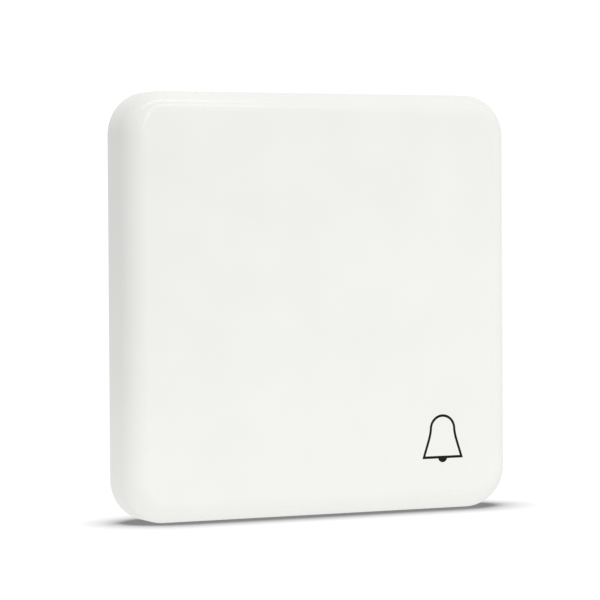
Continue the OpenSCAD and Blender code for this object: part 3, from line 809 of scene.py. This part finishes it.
def make_screws():
    """Four pan-head board screws with a cross recess."""
    boxes = solids("board_screws")
    low, high = boxes[0]
    head, shank, core = (high.x - low.x) / 2, 0.95 * MM, 0.8 * MM
    head_t, end = BOARD_Y - low.y, BOARD_Y - high.y
    seat = BOARD_Y - BOARD_HIGH.y
    point, pitch, thread = 0.3 * MM, 0.4 * MM, 0.12 * MM
    profile = [(0, end), (core - point, end), (core, end + point)]
    height = end + point
    while height + pitch < seat:
        profile += [(core - thread, height + pitch / 4), (core, height + pitch / 2)]
        height += pitch
    chamfer, side = 0.08 * MM, 0.35 * MM
    profile += [(shank, seat), (shank, 0), (head - chamfer, 0), (head, chamfer)]
    for a in angles(math.pi / 2, 8):
        across = 0.5 * head + 0.5 * head * math.cos(a)
        profile.append((across, side + (head_t - side) * math.sin(a)))
    profile.append((0, head_t))
    screw = turned("board_screw", profile, (0, BOARD_Y, 0))
    depths = (low.y - 0.5 * MM, low.y + 0.7 * MM)
    bars = cross_bars("cross", (0, 0), depths, 0.25 * MM, 1.1 * MM)
    combine(screw, "DIFFERENCE", *bars)
    places = [over(box, 0) for box in boxes]
    screws = polish(set_out(screw, "board_screws_pan_head", places))
    dress(screws, "housing", "screw_zinc", screw_zinc, "board_screws")


# ---------------------------------------------------------------- circuit board


def make_board():
    """The board: green on both faces, straw yellow where it was routed out of its panel."""
    board = cad_copy("circuit_board", "circuit_board_finished")
    board.data.materials.clear()
    for material in (board_green, laminate_edge):
        board.data.materials.append(material)
    for face in board.data.polygons:
        face.material_index = int(abs(face.normal.y) < 0.5)
    dress(polish(board), "housing", "board_green", None, "circuit_board")


def track_piece(points, width):
    """One copper track under the mask, as a low rounded ridge through points (x, z)."""
    track = drawn("track", [Vector((x, 0, z)) * MM for x, z in points])
    bpy.ops.object.convert(target="CURVE")
    line = bpy.context.active_object
    line.data.bevel_depth = width / 2
    line.data.bevel_resolution = 2
    line.data.use_fill_caps = True
    bpy.ops.object.convert(target="MESH")
    track = bpy.context.active_object
    with editing(track, "SELECT"):
        bpy.ops.mesh.remove_doubles(threshold=MERGE)
        bpy.ops.transform.resize(value=(1, 0.3, 1), center_override=(0, 0, 0))
        bpy.ops.transform.translate(value=(0, BOARD_Y, 0))
    return track


def make_tracks():
    """Tracks between the parts, which run in straight lines and half right angles."""
    thin, thick = 0.25 * MM, 0.6 * MM
    routes = [
        (thin, (-2, -14.4), (-2, -13), (-8, -7), (-14.2, -7)),
        (thin, (2, -14.4), (2, -12.8), (4.4, -10.4)),
        (thin, (19.4, -7.7), (19.4, -6.8), (17.8, -5.2), (-14.2, -5.2)),
        (thin, (22.4, -7.7), (22.4, -5.8), (23.6, -4.6)),
        (thin, (22.4, 4.4), (22.4, 3), (16, -3.4), (-14.2, -3.4)),
        (thin, (-15.5, 5.2), (-15.5, 3.4), (-17, 1.9), (-17.4, 1.9)),
        (thin, (-15.5, 8.8), (-15.5, 9.6), (-16.6, 10.7), (-17.5, 10.7)),
        (thick, (-17.5, 15.3), (-16.4, 15.3), (-9.6, 22.1), (-9.6, 24.2), (-9, 24.8)),
        (thick, (8.2, 21.8), (12.6, 21.8)),
        (thick, (2, 20.6), (11, 20.6), (14.6, 17), (21.4, 17)),
        (thick, (-2, 20.6), (-9, 20.6), (-13.2, 16.4), (-13.2, -0.6), (-14.2, -1.6)),
        (thick, (21.4, 13), (15, 13), (13.4, 11.4), (13.4, 0.6)),
    ]
    # Four lines side by side, from the controller's leads up to the resistors.
    for k in range(4):
        x, lead_z, part_z = -24.3 - 0.4 * k, 1.8 - 1.27 * k, 14.8 - 1.8 * k
        start = [(-23.4, lead_z), (x + 0.4, lead_z), (x, lead_z + 0.4)]
        routes.append((thin, *start, (x, part_z - 0.4), (x - 0.4, part_z)))
    tracks = [track_piece(points, width) for width, *points in routes]
    piece = polish(joined("board_tracks", *tracks), 50)
    dress(piece, "housing", "board_green", track_green)


def terminal_pads():
    """Where parts are soldered, as boxes on the board: feet of leads and ends of parts."""
    spare = 0.25 * MM
    for low, high in solids("chip_leads") + solids("switch_terminals"):
        yield low.x - spare / 2, high.x + spare / 2, low.z - spare / 4, high.z + spare / 4
    for node, along in (
        ("chip_capacitors", 0),
        ("chip_resistors", 0),
        ("crystal", 2),
        ("status_led", 2),
        ("reservoir_capacitor", 2),
    ):
        for low, high in solids(node):
            size = (high - low)[along]
            for start, end in ((-spare, 0.25 * size), (0.75 * size, size + spare)):
                box = [low.x, high.x, low.z, high.z]
                box[along : along + 2] = low[along] + start, low[along] + end
                yield box
    low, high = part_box("antenna_coil")
    leg = 0.3 * MM
    for x, z in ((low.x + leg, high.z - leg), (high.x - leg, low.z + leg)):
        yield x - 0.7 * MM, x + 0.7 * MM, z - 0.6 * MM, z + 0.6 * MM


def make_solder():
    """Solder on the pads: low bright pillows around the feet of the parts."""
    front, root = BOARD_Y - 0.08 * MM, BOARD_Y + 0.02 * MM
    pads = [
        block("pad", (x0, front, z0), (x1, root, z1))
        for x0, x1, z0, z1 in terminal_pads()
    ]
    solder = joined("solder_pads", *pads)
    soften(solder, 0.06 * MM, segments=3)
    dress(polish(solder, 50), "housing", "tin_plate", tin_solder)


def frame_line(node, gap):
    """A printed outline around a part."""
    low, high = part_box(node)
    corner = (low.x - gap, BOARD_Y - PRINT_T, low.z - gap)
    frame_piece = block("outline", corner, (high.x + gap, BOARD_Y, high.z + gap))
    with editing(frame_piece):
        pick_faces(frame_piece, lambda c, n: abs(n.y) > 0.9)
        bpy.ops.mesh.inset(thickness=PRINT_LINE, use_even_offset=True)
        bpy.ops.mesh.bridge_edge_loops()
    return frame_piece


def make_print():
    """The printed outlines of the larger parts, a ring around the cell and the mark of its pole."""
    gaps = {
        "bell_switch_base": 0.5,
        "pairing_switch_base": 0.5,
        "controller_chip": 1.6,
        "radio_chip": 1.3,
        "crystal": 0.25,
        "status_led": 0.5,
        "reservoir_capacitor": 0.5,
    }
    outlines = [frame_line(node, gap * MM) for node, gap in gaps.items()]
    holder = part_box("cell_holder")
    radius = (holder[1].x - holder[0].x) / 2 + 0.5 * MM
    outer = radius + PRINT_LINE
    ring = [(radius, 0), (radius, PRINT_T), (outer, PRINT_T), (outer, 0)]
    outlines.append(turned("ring", ring, over(holder, BOARD_Y), 96))
    depths = (BOARD_Y - PRINT_T, BOARD_Y)
    outlines += cross_bars("plus", (15 * MM, 22 * MM), depths, 0.8 * MM, 0.12 * MM)
    piece = joined("board_print", *outlines)
    soften(piece, 0.006 * MM, segments=1)
    dress(piece, "housing", "led_white", print_white)


def make_vias():
    """Plated holes between the board's faces, each with a ring of copper under tin."""
    back = BOARD_Y - BOARD_HIGH.y
    proud, hole, ring = 0.03 * MM, 0.2 * MM, 0.42 * MM
    profile = [(hole, back - proud), (hole, proud), (ring - proud, proud)]
    profile += [(ring, 0), (ring, back), (ring - proud, back - proud)]
    via = turned("via", profile, (0, BOARD_Y, 0), 24)
    places = [(-29, z) for z in (-20, -14, -8, -2, 4)] + [(x, -28.6) for x in (-12, -6, 6, 12)]
    places += [(29, z) for z in (-16, -10, -4, 2, 8)]
    places += [(12.6, 21.8), (4.4, -10.4), (23.6, -4.6), (13.4, 0.6)]
    vias = polish(set_out(via, "board_vias", [Vector((x, 0, z)) * MM for x, z in places]))
    dress(vias, "housing", "tin_plate", tin_solder)


# ---------------------------------------------------------------- parts on the board


def make_cell():
    """The coin cell: a drawn can with a rolled lip, a black seal and the minus cap below it."""
    low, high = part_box("coin_cell")
    radius, height = (high.x - low.x) / 2, high.y - low.y
    cap_r, lip = radius - 1.1 * MM, 0.5 * MM
    place = over((low, high), high.y)
    seal_r = cap_r + 0.25 * MM
    profile = [(0, 0), (cap_r - 0.4 * MM, 0), (cap_r - 0.1 * MM, 0.1 * MM), (cap_r, 0.35 * MM)]
    profile += [(cap_r, lip), (seal_r, lip), (seal_r + 0.1 * MM, lip - 0.08 * MM)]
    roll_r, rim_r = 0.35 * MM, 0.3 * MM
    quarter = [(math.sin(a), math.cos(a)) for a in angles(math.pi / 2, 6)]
    profile += [(radius - roll_r * (1 - s), lip + rim_r - roll_r * c) for s, c in quarter]
    profile += [(radius - rim_r * (1 - c), height - rim_r * (1 - s)) for s, c in quarter]
    profile += [(radius - 0.9 * MM, height), (radius - 1.0 * MM, height - 0.06 * MM)]
    profile.append((0, height - 0.06 * MM))
    cell = turned("coin_cell_can", profile, place, 96)
    mark = (place.x, place.z - 0.3 * radius)
    depths = (low.y - 1 * MM, low.y + 0.14 * MM)
    bars = cross_bars("pole_mark", mark, depths, 1.6 * MM, 0.2 * MM)
    combine(cell, "DIFFERENCE", *bars)
    dress(polish(cell), "housing", "cell_steel", cell_steel, "coin_cell")
    cell.data.materials.append(holder_black)
    for face in cell.data.polygons:
        centre = face.center - place
        from_axis = math.hypot(centre.x, centre.z)
        if cap_r < from_axis < seal_r and near(centre.y, -lip):
            face.material_index = 1


def two_ended(name, size, body_material, cap_material, cap_share=0.22):
    """A small part with a tinned cap at each end, about the origin, standing on y = 0."""
    half = Vector(size) / 2
    cap = cap_share * size[0]
    skin = 0.03 * MM
    corner = (half.x - cap / 2, -skin, half.z - skin)
    body = block(name, (-corner[0], -size[1] + skin, -corner[2]), corner)
    body.data.materials.append(body_material)
    parts = [soften(body, 0.03 * MM, segments=1)]
    for x0, x1 in ((-half.x, -half.x + cap), (half.x - cap, half.x)):
        end = block("cap", (x0, -size[1], -half.z), (x1, 0, half.z))
        end.data.materials.append(cap_material)
        parts.append(soften(end, 0.06 * MM, segments=2))
    return joined(name, *parts)


def make_small_parts():
    """Chip capacitors and chip resistors: one of each made, and copied to its places."""
    for node, slot, material in (
        ("chip_capacitors", "capacitor_tan", capacitor_tan),
        ("chip_resistors", "resistor_black", resistor_white),
    ):
        boxes = solids(node)
        low, high = boxes[0]
        part = two_ended(node[:-1], high - low, material, tin_solder)
        if node == "chip_resistors":
            long, wide, top = 0.5 * MM, 0.34 * MM, low.y - high.y
            film = block("film", (-long, top, -wide), (long, top + 0.05 * MM, wide))
            film.data.materials.append(resistor_black)
            part = joined(part.name, part, soften(film, 0.02 * MM, segments=1))
        places = [over(box, high.y) for box in boxes]
        piece = polish(set_out(part, node + "_finished", places))
        dress(piece, "housing", slot, None, node)


def make_reservoir():
    """The tantalum capacitor: a mustard block with a brown band at its plus end, and two tabs."""
    low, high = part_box("reservoir_capacitor")
    name, tab, band = "reservoir_capacitor_body", 0.1 * MM, (0.7 * MM, 1.4 * MM)
    body = rounded_block(name, low, (high.x, high.y - tab, high.z), 0.1 * MM, 0.12 * MM, 2)
    for below in reversed(band):
        with editing(body, "SELECT"):
            bpy.ops.mesh.bisect(plane_co=(0, 0, high.z - below), plane_no=(0, 0, 1))
    dress(polish(body), "housing", "tantalum_yellow", tantalum_yellow, "reservoir_capacitor")
    body.data.materials.append(tantalum_band)
    for face in body.data.polygons:
        above = high.z - face.center.z
        face.material_index = int(band[0] < above < band[1])
    half, tall = 1.1 * MM, 1.3 * MM
    x = middle((low, high)).x
    tabs = [
        block("tab", (x - half, high.y - tab, z0), (x + half, high.y, z0 + tall))
        for z0 in (low.z, high.z - tall)
    ]
    tabs_piece = polish(soften(joined("reservoir_capacitor_tabs", *tabs), 0.03 * MM, 1))
    dress(tabs_piece, "housing", "tin_plate", tin_solder)


def make_lamp():
    """The signal lamp: a white cup with a domed fill of yellow phosphor in clear silicone."""
    low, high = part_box("status_led")
    cup_top = low.y + 0.5 * MM
    cup_low = (low.x, cup_top, low.z)
    cup = rounded_block("status_led_cup", cup_low, high, 0.1 * MM, 0.06 * MM, 2)
    dress(polish(cup), "housing", "led_white", led_white, "status_led")
    lens_r, sunk = 0.85 * MM, -0.2 * MM
    rise = cup_top - low.y
    ball = ball_radius(lens_r, rise)
    profile = [(0, sunk), (lens_r, sunk)]
    for k in range(13):
        radius = lens_r * (1 - k / 12)
        profile.append((radius, rise - ball + math.sqrt(ball * ball - radius * radius)))
    lens = polish(turned("status_led_lens", profile, over((low, high), cup_top), 48))
    dress(lens, "housing", "led_white", led_phosphor)


def make_snap_dome():
    """The bell switch's snap dome, a thin sprung cap with a turned-down rim."""
    low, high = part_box("bell_switch_dome")
    radius, rise, sheet = (high.x - low.x) / 2, high.y - low.y, 0.12 * MM
    ball = ball_radius(radius, rise)
    outer, inner = [], []
    for k in range(17):
        r = radius * k / 16
        height = rise - ball + math.sqrt(ball * ball - r * r)
        outer.append((r, height))
        inner.append((r * (1 - sheet / ball), max(height - sheet, 0)))
    profile = inner + outer[::-1]
    place = over((low, high), high.y)
    dome = polish(turned("bell_switch_snap_dome", profile, place, 64))
    dress(dome, "housing", "dome_steel", dome_steel, "bell_switch_dome")
    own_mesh(dome)


def make_rivets():
    """The four melted studs that hold each switch's cover plate down."""
    for node in ("bell_switch_cover", "pairing_switch_cover"):
        low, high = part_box(node)
        inset, radius, rise = 0.75 * MM, 0.42 * MM, 0.16 * MM
        profile = [(0, -0.1 * MM), (radius, -0.1 * MM), (radius, 0.04 * MM)]
        profile += [(radius * 0.75, rise * 0.8), (radius * 0.4, rise), (0, rise)]
        stud = turned("stud", profile, (0, low.y, 0), 24)
        places = [
            (x, 0, z)
            for x in (low.x + inset, high.x - inset)
            for z in (low.z + inset, high.z - inset)
        ]
        studs = polish(set_out(stud, node.replace("cover", "rivets"), places), 50)
        dress(studs, "housing", "switch_black", switch_black)


def make_chips():
    """The two chips, each with the round dimple that marks its first lead."""
    for node in ("controller_chip", "radio_chip"):
        low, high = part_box(node)
        chip = soften(cad_copy(node, node + "_finished"), 0.08 * MM, segments=2)
        x, z, radius = low.x + 0.9 * MM, high.z - 0.9 * MM, 0.3 * MM
        start, end = (x, low.y - 1 * MM, z), (x, low.y + 0.08 * MM, z)
        polish(combine(chip, "DIFFERENCE", rod("dimple", start, end, radius, 24)))
        dress(chip, "housing", "chip_black", chip_black, node)


REFINED = (
    ("housing", "housing", "housing_white", housing_white, 0.2 * MM, 3),
    ("stop_bumpers", "push_plate", "bumper_rubber", bumper_rubber, 0.2 * MM, 3),
    ("bell_switch_base", "housing", "switch_black", switch_black, 0.12 * MM, 2),
    ("bell_switch_cover", "housing", "switch_cover_steel", switch_cover_steel, 0.05 * MM, 2),
    ("bell_switch_stem", "bell_stem", "stem_grey", stem_grey, 0.15 * MM, 3),
    ("pairing_switch_base", "housing", "switch_black", switch_black, 0.1 * MM, 2),
    ("pairing_switch_cover", "housing", "switch_cover_steel", switch_cover_steel, 0.05 * MM, 2),
    ("pairing_switch_stem", "pairing_stem", "stem_red", stem_red, 0.12 * MM, 3),
    ("switch_terminals", "housing", "tin_plate", tin_solder, 0.04 * MM, 2),
    ("cell_holder", "housing", "holder_black", holder_black, 0.2 * MM, 3),
    ("cell_contact_minus", "housing", "contact_gold", contact_gold, 0.06 * MM, 2),
    ("cell_contact_plus", "housing", "contact_gold", contact_gold, 0.06 * MM, 2),
    ("chip_leads", "housing", "tin_plate", tin_solder, 0.03 * MM, 2),
    ("crystal", "housing", "crystal_can", crystal_can, 0.08 * MM, 3),
)

make_push_plate()
make_bracket()
make_pads()
for row in REFINED:
    refined(*row)
make_board()
make_tracks()
make_solder()
make_print()
make_vias()
make_springs()
make_aerial()
make_screws()
make_cell()
make_chips()
make_small_parts()
make_reservoir()
make_lamp()
make_snap_dome()
make_rivets()

# ---------------------------------------------------------------- camera, floor and light

CAMERA_AZIMUTH = -25.7
CAMERA_HEIGHT = 1.55
CAMERA_ROLL = -0.35
CAMERA_AWAY = 543.3 * MM
CAMERA_LENS = 172.46
AIM = Vector((-3.87, -11.0, 0.90)) * MM

FLOOR_SIZE = 6.0
# How far out from the plate the painted contact shadow on the table top reaches.
PAINTED_SHADOW_REACH = 11 * MM
TABLE_GLOW = 1.09
LIGHT_ROUND = 0.75
LIGHT_BACK = -0.115
LIGHT_UP = 0.29
LIGHT_RIGHT = 0.02
GLOSS_BEHIND = 0.18
STRIP_AWAY = 1.0
STRIP_RADIANCE = 2.8


def facing(azimuth, height, away, roll):
    """The place and turn of something that looks at the aim point, with its angles in degrees."""
    side, lift = math.radians(azimuth), math.radians(height)
    out = Vector(
        (math.sin(side) * math.cos(lift), -math.cos(side) * math.cos(lift), math.sin(lift))
    )
    look = (-out).to_track_quat("-Z", "Y").to_matrix().to_4x4()
    spin = Matrix.Rotation(math.radians(roll), 4, "Z")
    return Matrix.Translation(AIM + out * away) @ look @ spin


def make_camera():
    """A long lens a little to the left of the plate, just above its middle."""
    data = bpy.data.cameras.new("camera")
    camera = bpy.data.objects.new("camera", data)
    bpy.context.scene.collection.objects.link(camera)
    bpy.context.scene.camera = camera
    data.lens = CAMERA_LENS
    data.sensor_width = 36
    data.clip_start = 0.01
    camera.matrix_world = facing(CAMERA_AZIMUTH, CAMERA_HEIGHT, CAMERA_AWAY, CAMERA_ROLL)


def make_floor():
    """A wide white table top under the plate, which is lit from within like a light table by a
    hidden glowing block just below it; the top itself is seen only by the camera and glows white,
    with a painted contact shadow where the plate is near.
    """
    floor_z = cad_bounds[0].z
    bpy.ops.object.select_all(action="DESELECT")
    bpy.ops.mesh.primitive_plane_add(size=FLOOR_SIZE, location=(0, 0, floor_z))
    top = settle("table_top_with_painted_shadow")
    material, tree = new_material(
        "table_white_with_painted_shadow",
        {"Base Color": (0, 0, 0, 1), "Specular IOR Level": 0.0, "Emission Strength": 1.0},
    )
    # Painted contact shadow: ambient occlusion near the plate turns the top's glow from white down
    # to grey.
    shade = add(tree, "AmbientOcclusion", {"Distance": PAINTED_SHADOW_REACH})
    tone = ramp(
        tree,
        (shade, "AO"),
        (0.5, linear("868686")),
        (0.69, linear("D4D4D4")),
        (0.84, linear("F3F3F3")),
        (0.95, (1.02, 1.02, 1.02, 1)),
    )
    glow = tree.nodes["Principled BSDF"].inputs["Emission Color"]
    tree.links.new(tone[0].outputs[tone[1]], glow)
    top.data.materials.append(material)
    top.visible_diffuse = top.visible_glossy = top.visible_shadow = False

    lamp = block("table_lamp", (-0.08, -1.0, floor_z - 2 * MM), (1.0, 0.6, floor_z - 1 * MM))
    values = {"Base Color": (0, 0, 0, 1), "Emission Color": (1, 1, 1, 1)}
    values["Emission Strength"] = TABLE_GLOW
    lamp.data.materials.append(new_material("table_glow", values)[0])
    lamp.visible_camera = lamp.visible_glossy = False


def make_world():
    """Soft light from all round, strongest from above and in front, on a white background."""
    world = bpy.data.worlds.new("studio")
    bpy.context.scene.world = world
    world.use_nodes = True
    tree = world.node_tree
    place = add(tree, "TexCoord")
    axes = add(tree, "SeparateXYZ", {"Vector": (place, "Generated")})
    level = LIGHT_ROUND
    for axis, slope in (("X", LIGHT_RIGHT), ("Y", LIGHT_BACK), ("Z", LIGHT_UP)):
        terms = {0: (axes, axis), 1: slope, 2: level}
        level = add(tree, "Math", terms, operation="MULTIPLY_ADD"), "Value"
    behind = add(tree, "Math", {0: (axes, "Y"), 1: 0.0}, operation="MAXIMUM")
    path = add(tree, "LightPath")
    seen = {0: (behind, "Value"), 1: (path, "Is Glossy Ray")}
    seen = add(tree, "Math", seen, operation="MULTIPLY")
    level = {0: (seen, "Value"), 1: GLOSS_BEHIND, 2: level}
    level = add(tree, "Math", level, operation="MULTIPLY_ADD"), "Value"
    dome = tree.nodes["Background"]
    dome.inputs["Color"].default_value = (1, 1, 1, 1)
    tree.links.new(level[0].outputs[level[1]], dome.inputs["Strength"])
    white = add(tree, "Background", {"Color": (1, 1, 1, 1), "Strength": 1.05})
    mixed = add(
        tree,
        "MixShader",
        {0: (path, "Is Camera Ray"), 1: (dome, "Background"), 2: (white, "Background")},
    )
    tree.links.new(mixed.outputs[0], tree.nodes["World Output"].inputs["Surface"])


def soft_box(name, azimuth, height, width, length, turn=0):
    """A flat lamp that looks at the plate's middle."""
    data = bpy.data.lights.new(name, "AREA")
    data.shape = "RECTANGLE"
    data.size, data.size_y = width, length
    data.energy = STRIP_RADIANCE * math.pi * width * length
    lamp = bpy.data.objects.new(name, data)
    bpy.context.scene.collection.objects.link(lamp)
    lamp.matrix_world = facing(azimuth, height, STRIP_AWAY, turn)


def make_lamps():
    """Three strip boxes that draw the bright lines on the upper corner."""
    soft_box("overhead_strip", -4, 68, 0.9, 0.14)
    soft_box("front_strip", -4, 20, 0.10, 0.48, turn=-6)
    soft_box("shelf_strip", 14, 39, 0.55, 0.07)


bpy.context.scene.view_settings.view_transform = "Standard"
make_camera()
make_floor()
make_world()
make_lamps()
